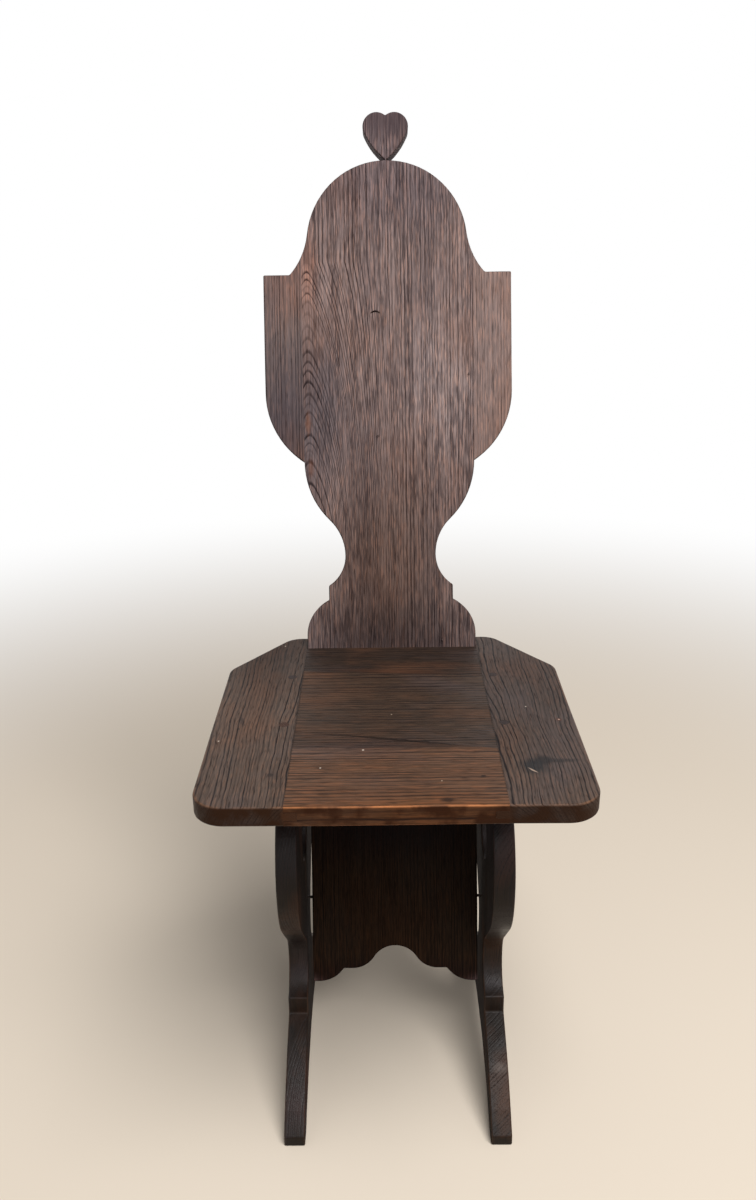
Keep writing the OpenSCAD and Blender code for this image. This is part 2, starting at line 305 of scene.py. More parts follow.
def wood_space(tree, board, figure):
    """Coordinates of the object, of its board, of the board's place in the tree, and of the swaying grain."""
    across, through, origin = board
    turn = Matrix((across, through, across.cross(through)))
    at = add(tree, "TexCoord", output="Object")
    grain = add(tree, "Mapping", {"Vector": at, "Location": -(turn @ origin), "Rotation": turn.to_euler()})
    shifted = add(tree, "VectorMath", {0: grain, 1: figure["shift"]}, operation="ADD")
    swayed = grain
    for scale, detail, reach in (
        (figure["sway_scale"], 1.5, figure["sway"]), (RIPPLES, 2.0, figure["ripple"])
    ):
        wave = add(tree, "Mapping", {"Vector": shifted, "Scale": scale})
        wave = add(tree, "TexNoise", {"Vector": wave, "Scale": 1.0, "Detail": detail}, output="Color")
        swayed = add(
            tree, "VectorMath", {0: wave, 1: (reach * MM, reach * MM, 0), 2: swayed}, operation="MULTIPLY_ADD"
        )
    return at, grain, shifted, swayed


def early_wood(tree, swayed, threads, figure):
    """How open the wood is, from 0 to 1: the early part of each growth ring, broken along the grain."""
    # Rings lie round the pith. Near it they slope, where the trunk tapered, and come out as chevrons
    pith_a, pith_t = figure["pith"]
    from_pith = add(
        tree, "Mapping", {"Vector": swayed, "Location": (-pith_a * MM, -pith_t * MM, 0), "Scale": (1, 1, 0)}
    )
    radius = add(tree, "VectorMath", {0: from_pith}, output="Value", operation="LENGTH")
    height = add(tree, "SeparateXYZ", {0: swayed}, output=2)
    low, high, slope = figure["taper"]
    fall = add(
        tree, "MapRange",
        {
            "Value": height, "From Min": low * MM, "From Max": high * MM,
            "To Min": (low - high) * MM * slope, "To Max": 0.0,
        },
    )
    near = add(
        tree, "MapRange",
        {
            "Value": radius, "From Min": SLOPE_MM[0] * MM, "From Max": SLOPE_MM[1] * MM,
            "To Min": 1.0, "To Max": 0.0,
        },
        interpolation_type="SMOOTHSTEP",
    )
    fall = add(tree, "Math", {0: fall, 1: near}, operation="MULTIPLY")
    radius = add(tree, "Math", {0: radius, 1: fall}, operation="ADD")

    # Some years are wide and some narrow, some open and some close
    gap = figure["ring_gap"] * MM
    uneven = add(
        tree, "TexNoise", {"W": radius, "Scale": YEARS_WAVE / gap, "Detail": 1.0}, noise_dimensions="1D"
    )
    uneven = add(tree, "Math", {0: uneven, 1: YEARS_SWING}, operation="MULTIPLY")
    rings = add(tree, "Math", {0: radius, 1: 1 / gap, 2: uneven}, operation="MULTIPLY_ADD")
    ring = add(tree, "Math", {0: rings}, operation="FRACT")
    year = add(tree, "Math", {0: rings}, operation="FLOOR")
    year = add(tree, "TexWhiteNoise", {"W": year}, noise_dimensions="1D")
    year = add(
        tree, "MapRange", {"Value": year, "From Min": 0.1, "From Max": 0.8, "To Min": 0.3, "To Max": 1.0}
    )
    onset = add(tree, "MapRange", {"Value": ring, "From Min": 0.0, "From Max": 0.12})
    early = add(
        tree, "MapRange", {"Value": ring, "From Min": 0.2, "From Max": 0.5, "To Min": 1.0, "To Max": 0.0},
        interpolation_type="SMOOTHSTEP",
    )
    broken = add(tree, "Mapping", {"Vector": threads, "Scale": repeats(*BREAK_MM)})
    broken = add(tree, "TexNoise", {"Vector": broken, "Scale": 1.0, "Detail": 1.0})
    broken = add(
        tree, "MapRange", {"Value": broken, "From Min": 0.34, "From Max": 0.52, "To Min": 0.6, "To Max": 1.0}
    )
    for share in (onset, year, broken):
        early = add(tree, "Math", {0: early, 1: share}, operation="MULTIPLY")
    return early


def marked(tree, colour, grain, board, marks):
    """Marks, each an ellipse with a ragged edge, old stains and specks and also painted light and shade: a
    hex colour covers the grain, three shares shade it.

    A mark is its place, its half width across the grain and half height along it in millimetres, its angle in
    degrees, its stain, its strength, and the share of it over which it fades.
    """
    across, through, origin = board
    turn = Matrix((across, through, across.cross(through)))
    ragged = add(tree, "TexNoise", {"Vector": grain, "Scale": RAGGED, "Detail": 3.0}, output="Color")
    ragged = add(tree, "VectorMath", {0: ragged, 1: (0.5, 0.5, 0.5)}, operation="SUBTRACT")
    for place, wide, tall, angle, stain, strength, soft in marks:
        stray = min(wide * STRAY, tall * STRAY, STRAY_MOST_MM) * MM
        spot = add(tree, "VectorMath", {0: ragged, 1: (stray, 0, stray), 2: grain}, operation="MULTIPLY_ADD")
        spot = add(
            tree, "Mapping",
            {
                "Vector": spot,
                "Location": turn @ (place - origin),
                "Rotation": (0, math.radians(angle), 0),
                "Scale": (wide * MM, MARK_DEEP_MM * MM + min(wide, tall) * MM, tall * MM),
            },
            vector_type="TEXTURE",
        )
        spot = add(tree, "VectorMath", {0: spot}, output="Value", operation="LENGTH")
        spot = add(
            tree, "MapRange",
            {"Value": spot, "From Min": 1 - soft, "From Max": 1.0, "To Min": strength, "To Max": 0.0},
            interpolation_type="SMOOTHSTEP",
        )
        if isinstance(stain, str):
            colour = add(tree, "Mix", {0: spot, 6: colour, 7: rgba(linear(stain))}, **BLEND)
        else:
            colour = add(tree, "Mix", {0: spot, 6: colour, 7: rgba(stain)}, **BLEND, blend_type="MULTIPLY")
    return colour


def oak(name, board, light, deep, finish, figure, marks=()):
    """Stained and waxed oak, open-grained: early-wood lines, long pores, patches, worn arrises, painted shade
    on edge faces, and old marks with painted light and shade.

    figure describes the board's wood, in millimetres where it is a length:
    shift, sway, sway_scale, ripple: its place in the tree, and how the grain sways and ripples
    pith, taper, ring_gap: where the pith lies from the board's origin (across, through), between which
        heights the rings slope and how steeply, and their spacing. Real oak has 1.5 to 3 mm; the back and
        the seat are drawn with 3.4 to 4.2 mm, so the rings show at the distance of the photograph
    stroke: width of the short strokes, one to two millimetres, where real fibres are finer
    line, pore, fleck, warm, cool, ends, edge, rub: how strongly the lines, the pores, the pale flecks, the
        warm and cool patches, the end grain, the painted shade of the edge faces and the wear of the arrises
        show
    dark, worn: shares of the colours of the lines and of the wear; little of the latter paints the arrises
    dark, a painted shade line along them
    rough, gloss: roughness at the edges and on the faces, and how much they mirror
    """
    across, through, _ = board
    along = across.cross(through)
    material, tree = new_material(name)
    at, grain, shifted, swayed = wood_space(tree, board, figure)
    facing = at.node.outputs["Normal"]
    threads = add(tree, "VectorMath", {0: swayed, 1: figure["shift"]}, operation="ADD")
    early = early_wood(tree, swayed, threads, figure)
    pores = add(tree, "Mapping", {"Vector": threads, "Scale": repeats(*PORE_MM)})
    pores = add(tree, "TexNoise", {"Vector": pores, "Scale": 1.0, "Detail": 1.0})
    pores = add(tree, "Math", {0: early, 1: EARLY_PORES, 2: pores}, operation="MULTIPLY_ADD")
    pores = add(tree, "MapRange", {"Value": pores, "From Min": 0.58, "From Max": 0.74})

    # Fibres show as short strokes, light flecks lie between them, and streaks of deeper stain are broader
    stroke = figure["stroke"]
    fibres = add(tree, "Mapping", {"Vector": threads, "Scale": repeats(stroke, stroke, FIBRE_ALONG_MM)})
    fibres = add(tree, "TexNoise", {"Vector": fibres, "Scale": 1.0, "Detail": 2.0, "Roughness": 0.65})
    streaks = add(tree, "Mapping", {"Vector": threads, "Scale": STREAKS})
    streaks = add(tree, "TexNoise", {"Vector": streaks, "Scale": 1.0, "Detail": 3.0, "Roughness": 0.6})
    tone = add(tree, "Math", {0: fibres, 1: FIBRE_TONE, 2: streaks}, operation="MULTIPLY_ADD")
    tone = add(tree, "MapRange", {"Value": tone, "From Min": 1.2, "From Max": 1.8})
    colour = add(tree, "Mix", {0: tone, 6: rgba(light), 7: rgba(deep)}, **BLEND)
    flecks = add(
        tree, "Mapping",
        {"Vector": threads, "Location": FLECK_SHIFT, "Scale": repeats(stroke, stroke, FLECK_ALONG_MM)},
    )
    flecks = add(tree, "TexNoise", {"Vector": flecks, "Scale": 1.0, "Detail": 1.0})
    flecks = add(
        tree, "MapRange",
        {"Value": flecks, "From Min": 0.52, "From Max": 0.66, "To Min": 0.0, "To Max": figure["fleck"]},
    )
    colour = add(tree, "Mix", {0: flecks, 6: colour, 7: rgba(c * k for c, k in zip(light, FLECK))}, **BLEND)

    # Patches where the stain has worn warm or dust has greyed it
    patches = add(tree, "Mapping", {"Vector": shifted, "Scale": PATCHES})
    patches = add(tree, "TexNoise", {"Vector": patches, "Scale": 1.0, "Detail": 3.0})
    for start, full, most, hue in (
        (0.50, 0.68, figure["warm"], finish.warm), (0.48, 0.32, figure["cool"], finish.cool)
    ):
        share = add(
            tree, "MapRange",
            {"Value": patches, "From Min": start, "From Max": full, "To Min": 0.0, "To Max": most},
        )
        colour = add(tree, "Mix", {0: share, 6: colour, 7: rgba(hue)}, **BLEND)
    dark = figure.get("dark", 1.0)
    lines = add(tree, "Math", {0: early, 1: figure["line"]}, operation="MULTIPLY", use_clamp=True)
    colour = add(tree, "Mix", {0: lines, 6: colour, 7: rgba(finish.grain_line, dark)}, **BLEND)
    filled = add(tree, "Math", {0: pores, 1: figure["pore"]}, operation="MULTIPLY")
    colour = add(tree, "Mix", {0: filled, 6: colour, 7: rgba(finish.pores, dark)}, **BLEND)

    # End grain drinks the stain, the edge faces get painted shade in patches, and arrises are rubbed pale
    ends = add(tree, "VectorMath", {0: facing, 1: along}, output="Value", operation="DOT_PRODUCT")
    ends = add(tree, "Math", {0: ends, 1: ends}, operation="MULTIPLY")
    ends = add(
        tree, "MapRange",
        {"Value": ends, "From Min": 0.3, "From Max": 1.0, "To Min": 0.0, "To Max": figure["ends"]},
    )
    colour = add(tree, "Mix", {0: ends, 6: colour, 7: rgba(finish.pores, dark)}, **BLEND)
    flat = add(tree, "VectorMath", {0: facing, 1: through}, output="Value", operation="DOT_PRODUCT")
    flat = add(tree, "Math", {0: flat, 1: flat}, operation="MULTIPLY")
    edge = add(
        tree, "MapRange",
        {"Value": flat, "From Min": 0.0, "From Max": 0.6, "To Min": figure["edge"], "To Max": 0.0},
    )
    worn = add(tree, "TexNoise", {"Vector": at, "Scale": WEAR, "Detail": 4.0})
    edge_shade_patches = add(
        tree, "MapRange", {"Value": worn, "From Min": 0.42, "From Max": 0.6, "To Min": 0.55, "To Max": 1.9}
    )
    edge = add(tree, "Math", {0: edge, 1: edge_shade_patches}, operation="MULTIPLY", use_clamp=True)
    colour = add(tree, "Mix", {0: edge, 6: colour, 7: rgba(finish.seat_edge_shade)}, **BLEND)
    slant = add(tree, "Math", {0: flat, 1: -1.0, 2: 1.0}, operation="MULTIPLY_ADD")
    slant = add(tree, "Math", {0: slant, 1: flat}, operation="MULTIPLY")
    rub = add(
        tree, "MapRange",
        {
            "Value": worn, "From Min": 0.62, "From Max": 0.38,
            "To Min": 0.0, "To Max": WHOLE_SLANT * figure["rub"],
        },
    )
    rub = add(tree, "Math", {0: rub, 1: slant}, operation="MULTIPLY", use_clamp=True)
    colour = add(tree, "Mix", {0: rub, 6: colour, 7: rgba(finish.worn, figure.get("worn", 1.0))}, **BLEND)
    colour = marked(tree, colour, grain, board, marks)

    # Waxed between the pores, dull in them; the surface dips along the early wood
    satin, matt = figure["rough"]
    polish = add(
        tree, "MapRange",
        {"Value": patches, "From Min": 0.3, "From Max": 0.7, "To Min": -0.07, "To Max": 0.07},
    )
    face = add(
        tree, "MapRange", {"Value": flat, "From Min": 0.5, "From Max": 1.0, "To Min": satin, "To Max": matt}
    )
    dull = add(tree, "Math", {0: face, 1: polish}, operation="ADD")
    dull = add(tree, "Math", {0: pores, 1: PORE_DULL, 2: dull}, operation="MULTIPLY_ADD", use_clamp=True)
    swell = add(tree, "TexNoise", {"Vector": shifted, "Scale": SWELLS, "Detail": 1.0})
    relief = add(tree, "Math", {0: swell, 1: SWELL_LIFT}, operation="MULTIPLY")
    for pattern, lift in ((early, EARLY_LIFT), (fibres, FIBRE_LIFT), (pores, PORE_LIFT)):
        relief = add(tree, "Math", {0: pattern, 1: lift, 2: relief}, operation="MULTIPLY_ADD")
    normal = add(tree, "Bump", {"Strength": 0.6, "Distance": RELIEF, "Height": relief})
    surface = add(
        tree, "BsdfPrincipled",
        {
            "Base Color": colour, "Roughness": dull, "Normal": normal,
            "IOR": 1.45, "Specular IOR Level": figure["gloss"],
        },
    )
    tree.links.new(surface, tree.nodes.new("ShaderNodeOutputMaterial").inputs["Surface"])
    return material


def forged_iron(name, finish):
    """Hand-forged iron under old stain: dark, pitted and dull, with a little rust brown."""
    material, tree = new_material(name)
    at = add(tree, "TexCoord", output="Object")
    pits = add(tree, "TexNoise", {"Vector": at, "Scale": PITS, "Detail": 3.0})
    rust = add(tree, "MapRange", {"Value": pits, "From Min": 0.45, "From Max": 0.7, "To Max": 0.7})
    colour = add(tree, "Mix", {0: rust, 6: rgba(finish.iron), 7: rgba(linear(RUST))}, **BLEND)
    dull = add(
        tree, "MapRange", {"Value": pits, "From Min": 0.3, "From Max": 0.7, "To Min": 0.45, "To Max": 0.75}
    )
    normal = add(tree, "Bump", {"Strength": 0.6, "Distance": PIT_RELIEF, "Height": pits})
    surface = add(
        tree, "BsdfPrincipled", {"Base Color": colour, "Metallic": 0.8, "Roughness": dull, "Normal": normal}
    )
    tree.links.new(surface, tree.nodes.new("ShaderNodeOutputMaterial").inputs["Surface"])
    return material


def take_hold(piece):
    """Selects one object alone and makes it active."""
    bpy.ops.object.select_all(action="DESELECT")
    piece.select_set(True)
    bpy.context.view_layer.objects.active = piece


def copy_node(node, name):
    """A merged copy of a CAD node as a new piece, its flat faces whole again."""
    piece = bpy.data.objects.new(name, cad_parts[node].data.copy())
    piece.data.name = name
    piece.data.materials.clear()
    bpy.context.collection.objects.link(piece)
    take_hold(piece)
    bpy.ops.object.mode_set(mode="EDIT")
    bpy.ops.mesh.select_all(action="SELECT")
    bpy.ops.mesh.remove_doubles(threshold=MERGE)
    bpy.ops.mesh.dissolve_limited(angle_limit=FLAT)
    bpy.ops.mesh.normals_make_consistent(inside=False)
    bpy.ops.object.mode_set(mode="OBJECT")
    return piece


def cut_grid(piece, board):
    """Cuts the piece across and along its grain at every grid step, so its faces and edges can stray."""
    across, through, origin = board
    corners = [Vector(v.co) - origin for v in piece.data.vertices]
    take_hold(piece)
    bpy.ops.object.mode_set(mode="EDIT")
    for direction in (across, across.cross(through)):
        reach = [corner.dot(direction) for corner in corners]
        first = math.ceil(min(reach) / GRID_STEP + GRID_END)
        last = math.floor(max(reach) / GRID_STEP - GRID_END)
        for i in range(first, last + 1):
            bpy.ops.mesh.select_all(action="SELECT")
            bpy.ops.mesh.bisect(plane_co=origin + direction * i * GRID_STEP, plane_no=direction)
    bpy.ops.object.mode_set(mode="OBJECT")


def round_arrises(piece, arris, joint_arris, exposed):
    """Rounds the piece's arrises: widely where exposed(point) says so, hardly at all at joints."""
    mesh = piece.data
    normals = {}
    for face in mesh.polygons:
        for key in face.edge_keys:
            normals.setdefault(key, []).append(face.normal.copy())
    weights = []
    for edge in mesh.edges:
        a, b = (mesh.vertices[i].co for i in edge.vertices)
        pair = normals.get(tuple(sorted(edge.vertices)), [])
        weight = 0.0
        if len(pair) == 2 and pair[0].angle(pair[1], 0.0) > ARRIS_BEND:
            middle = (a + b) / 2
            weight = joint_arris / arris
            if exposed(middle) and (b - a).length > SHORTEST_ARRIS:
                weight = 1.0
        weights.append(weight)
    mesh.attributes.new("bevel_weight_edge", "FLOAT", "EDGE").data.foreach_set("value", weights)
    take_hold(piece)
    bpy.ops.object.modifier_add(type="BEVEL")
    bevel = piece.modifiers[-1]
    bevel.limit_method = "WEIGHT"
    bevel.offset_type = "OFFSET"
    bevel.width = arris
    bevel.segments = 3
    bevel.use_clamp_overlap = False
    bevel.miter_outer = "MITER_ARC"
    bpy.ops.object.modifier_apply(modifier=bevel.name)


def carve(piece, cutters):
    """Takes the joined cutters out of the piece."""
    take_hold(piece)
    bpy.ops.object.modifier_add(type="BOOLEAN")
    cut = piece.modifiers[-1]
    cut.operation = "DIFFERENCE"
    cut.solver = "EXACT"
    cut.object = cutters
    bpy.ops.object.modifier_apply(modifier=cut.name)
    bpy.data.objects.remove(cutters)


def join(parts):
    """Joins several objects into the first."""
    bpy.ops.object.select_all(action="DESELECT")
    for part in parts:
        part.select_set(True)
    bpy.context.view_layer.objects.active = parts[0]
    bpy.ops.object.join()
    return parts[0]


def pin_hole(place, inward, diameter, depth):
    """A cutter for a small round hole, driven inward from a point of a face."""
    bpy.ops.mesh.primitive_cone_add(
        vertices=14, radius1=diameter / 2, radius2=diameter * PIN_HOLE_TIP, depth=2 * depth,
        location=place, rotation=inward.to_track_quat("Z", "Y").to_euler(),
    )
    return bpy.context.object


def finish_piece(piece, node, material, waviness):
    """Lets the piece stray a little, smooths it, gives it its material and has it ride on the frame."""
    noise.seed_set(HAND_SEED)
    for vertex in piece.data.vertices:
        slow = noise.noise_vector(vertex.co * SLOW_WAVES)
        quick = noise.noise_vector(vertex.co * QUICK_WAVES + QUICK_SHIFT)
        vertex.co += slow * waviness + quick * waviness * QUICK_SHARE
    take_hold(piece)
    bpy.ops.object.shade_smooth_by_angle(angle=SMOOTH_BEND)
    bpy.ops.object.modifier_add(type="WEIGHTED_NORMAL")
    normals = piece.modifiers[-1]
    normals.keep_sharp = True
    normals.weight = 60
    bpy.ops.object.modifier_apply(modifier=normals.name)
    piece.data.materials.append(material)
    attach(piece, "root")
    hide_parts(node)


def make_board(scene, node, board, arris, exposed, light, deep, figure, marks, cutters=None):
    """Makes one board from its CAD node: worn arrises, faces that stray, dents, stained oak, old marks and
    painted light and shade.
    """
    shape = scene.chair_shape
    piece = copy_node(node, "oak_" + node)
    round_arrises(piece, arris, shape.joint_arris, exposed)
    cut_grid(piece, board)
    if cutters:
        carve(piece, cutters)
    material = oak("stained_" + piece.name, board, light, deep, scene.chair_finish, figure, marks)
    finish_piece(piece, node, material, shape.waviness)


class CHAIR_OT_stage(bpy.types.Operator):
    """Sets the photograph's camera, the plain pale floor, the sky and the soft lamps"""

    bl_idname = "plank_chair.stage"
    bl_label = "Set the stage"

    def execute(self, context):
        stage = context.scene.chair_stage
        self.camera(context)
        self.floor(stage)
        self.sky(context.scene, stage)
        for name, place, size, power in (
            ("key_lamp", Vector((0.8, -1.5, 3.0)), 1.8, stage.key_power),
            ("fill_lamp", Vector((0.9, -2.4, 1.5)), 1.2, stage.fill_power),
        ):
            bpy.ops.object.light_add(type="AREA", location=place)
            lamp = context.object
            lamp.name = name
            lamp.rotation_euler = (LAMPS_AIM - place).to_track_quat("-Z", "Y").to_euler()
            lamp.data.size = size
            lamp.data.energy = power
        context.scene.view_settings.view_transform = "Standard"
        return {"FINISHED"}

    def camera(self, context):
        """The photograph's camera, its lens shifted to the photograph's own centre."""
        bpy.ops.object.camera_add(location=CAMERA_AT)
        camera = context.object
        camera.name = "photo_camera"
        turn = Matrix.Rotation(-CAMERA_YAW, 3, "Z") @ Matrix.Rotation(math.pi / 2 - CAMERA_PITCH, 3, "X")
        camera.rotation_euler = (turn @ Matrix.Rotation(-CAMERA_ROLL, 3, "Z")).to_euler()
        camera.data.sensor_width = SENSOR_MM
        camera.data.lens = FOCAL_PX * SENSOR_MM / FRAME_H
        camera.data.shift_x = (FRAME_W / 2 - CENTRE_PX[0]) / FRAME_H
        camera.data.shift_y = (CENTRE_PX[1] - FRAME_H / 2) / FRAME_H
        context.scene.camera = camera

    def floor(self, stage):
        """A plain floor that fades to white, and throws less light back than the eye sees."""
        bpy.ops.mesh.primitive_circle_add(vertices=FLOOR_SIDES, radius=FLOOR_RADIUS, fill_type="NGON")
        floor = bpy.context.object
        floor.name = "floor"
        material, tree = new_material("plain_floor")
        at = add(tree, "TexCoord", output="Object")
        away = add(tree, "VectorMath", {0: at}, output="Value", operation="LENGTH")
        fade = add(
            tree, "MapRange", {"Value": away, "From Min": stage.floor_clear, "From Max": stage.floor_white},
            interpolation_type="SMOOTHSTEP",
        )
        seen = self.seen(tree)
        white = add(tree, "Math", {0: fade, 1: seen}, operation="MULTIPLY")
        colour = add(tree, "Mix", {0: seen, 6: rgba(stage.floor_bounce), 7: rgba(stage.floor)}, **BLEND)
        matt = add(tree, "BsdfDiffuse", {"Color": colour})
        glow = add(tree, "Emission", {"Color": (1, 1, 1, 1), "Strength": 1.0})
        mixed = add(tree, "MixShader", {0: white, 1: matt, 2: glow})
        tree.links.new(mixed, tree.nodes.new("ShaderNodeOutputMaterial").inputs["Surface"])
        floor.data.materials.append(material)

    def sky(self, scene, stage):
        """White all round to the eye, and a weaker even light on the chair."""
        scene.world = bpy.data.worlds.new("studio")
        scene.world.use_nodes = True
        tree = scene.world.node_tree
        tree.nodes.clear()
        strength = add(tree, "MapRange", {"Value": self.seen(tree), "To Min": stage.sky, "To Max": 1.0})
        light = add(tree, "Background", {"Color": (1, 1, 1, 1), "Strength": strength})
        tree.links.new(light, tree.nodes.new("ShaderNodeOutputWorld").inputs["Surface"])

    def seen(self, tree):
        """1 for rays of the camera, of gloss and through glass."""
        rays = add(tree, "LightPath", output="Is Camera Ray").node.outputs
        seen = add(tree, "Math", {0: rays["Is Camera Ray"], 1: rays["Is Glossy Ray"]}, operation="MAXIMUM")
        return add(tree, "Math", {0: seen, 1: rays["Is Transmission Ray"]}, operation="MAXIMUM")


class CHAIR_OT_back(bpy.types.Operator):
    """Makes the back board with its heart, and the two ears glued to its edges"""

    bl_idname = "plank_chair.back"
    bl_label = "Make the back"

    def execute(self, context):
        shape, finish = context.scene.chair_shape, context.scene.chair_finish
        inward = BACK_FRAME[1]
        glued = [on_back(0, s).z for s in EARS_MM]

        def free(point):
            return abs(point.x) < BACK_HALF - NEAR or not glued[0] < point.z < glued[1]

        cutters = [pin_hole(on_back(x, s), inward, shape.pin_hole_d, PIN_HOLE_DEEP) for x, s in PIN_HOLES_MM]
        cutters.append(self.nick(shape.nick_w))
        marks = [
            (on_back(-12.9, 349.6), 4.8, 1.6, 0, "#120d0c", 0.8, 0.7),
            # Painted light and shade over the face: painted shade on the left, a painted sheen on the right,
            # the dome and the heart darker, and painted shade low down near the seat
            (on_back(-75, 255), 48, 120, 0, (0.55, 0.6, 0.68), 1.0, 0.9),
            (on_back(52, 275), 52, 120, 0, (1.24, 1.32, 1.36), 1.0, 0.9),
            (on_back(0, 505), 150, 110, 0, (0.75, 0.77, 0.84), 1.0, 0.8),
            (on_back(0, 560), 60, 50, 0, "#4a3d40", 0.75, 0.6),
            (on_back(0, 80), 110, 180, 0, (0.57, 0.51, 0.46), 1.0, 0.9),
            (on_back(0, 0), 200, 80, 0, (0.4, 0.41, 0.44), 1.0, 0.9),
            # Painted shade below the seat: the lower part of the board darkened where the seat shades it
            (on_back(0, -200), 200, 190, 0, "#120a06", 0.6, 0.1),
            (on_back(0, -200), 200, 190, 0, (0.26, 0.19, 0.11), 1.0, 0.1),
            (on_back(0, -190), 200, 65, 0, (0.2, 0.1, 0.1), 1.0, 0.9),
            (on_back(0, -354), 200, 22, 0, (0.7, 0.62, 0.75), 1.0, 0.8),
            # Warm and dark patches along the glue lines
            (on_back(-84, 236), 4, 17, 0, "#8c5b41", 0.45, 0.8),
            (on_back(-82, 190), 5, 14, 0, "#7c5140", 0.4, 0.8),
            (on_back(-82, 395), 16, 60, 0, (1.25, 1.02, 0.9), 1.0, 0.9),
            (on_back(83, 182), 7, 18, 0, "#3a3031", 0.5, 0.9),
        ]
        # worn=0.05 makes the back's and ears' rubbed arrises nearly black: painted shade, a dark line along
        # the arrises
        figure = dict(
            shift=(3.1, 0.4, 2.2), sway=4, sway_scale=(4, 4, 1.3), ripple=1.6, pith=(-81, 9),
            taper=(130, 400, 0.34), ring_gap=3.6, warm=0.2, cool=0.25, line=0.85, pore=0.45, rub=0.8,
            worn=0.05, edge=0.0, ends=0.3, stroke=1.05, fleck=0.45, rough=(0.55, 0.5), gloss=0.06,
        )
        make_board(
            context.scene, "back_board", BACK_FRAME, shape.back_arris, free,
            finish.back_light_and_sheen, finish.back_deep_and_sheen, figure, marks, join(cutters),
        )
        # The left ear: painted shade over it, as on the back's left side, and warmer at the top
        left_marks = [
            (on_back(-108, 230), 44, 120, 0, (0.6, 0.62, 0.7), 1.0, 0.9),
            (on_back(-104, 380), 40, 60, 0, (1.25, 1.05, 0.95), 1.0, 0.9),
        ]
        right_marks = [(on_back(112, 190), 24, 60, 0, (0.8, 0.78, 0.78), 1.0, 0.9)]
        left = dict(shift=(5.2, 0.1, 4.7), pith=(-260, 60), warm=0.4, ring_gap=3.4)
        right = dict(shift=(9.4, 0.7, 1.3), pith=(260, 50), warm=0.25, line=0.45, ripple=1.8)
        for node, colour, changes, marks in (
            ("back_left_ear", finish.left_ear, left, left_marks),
            ("back_right_ear", finish.right_ear, right, right_marks),
        ):
            make_board(
                context.scene, node, BACK_FRAME, shape.back_arris,
                lambda point: abs(point.x) > BACK_HALF + NEAR,
                colour, deeper(colour, 0.66), {**figure, **changes}, marks,
            )
        return {"FINISHED"}

    def nick(self, width):
        """A cutter for a curved groove, as the corner of a gouge leaves: the top of a thin ring."""
        rise = width * NICK_RISE
        radius = (width * width / 4 + rise * rise) / (2 * rise)
        middle = on_back(*NICK_MM) - BACK_UP * radius
        bpy.ops.mesh.primitive_torus_add(
            major_segments=48, minor_segments=4, major_radius=radius, minor_radius=NICK_DEEP,
            location=middle, rotation=(BACK_FRAME[1] * -1).to_track_quat("Z", "Y").to_euler(),
        )
        ring = bpy.context.object
        bpy.ops.object.mode_set(mode="EDIT")
        bpy.ops.mesh.select_all(action="SELECT")
        bpy.ops.mesh.bisect(
            plane_co=middle + BACK_UP * (radius - rise), plane_no=BACK_UP, use_fill=True, clear_inner=True
        )
        bpy.ops.object.mode_set(mode="OBJECT")
        return ring


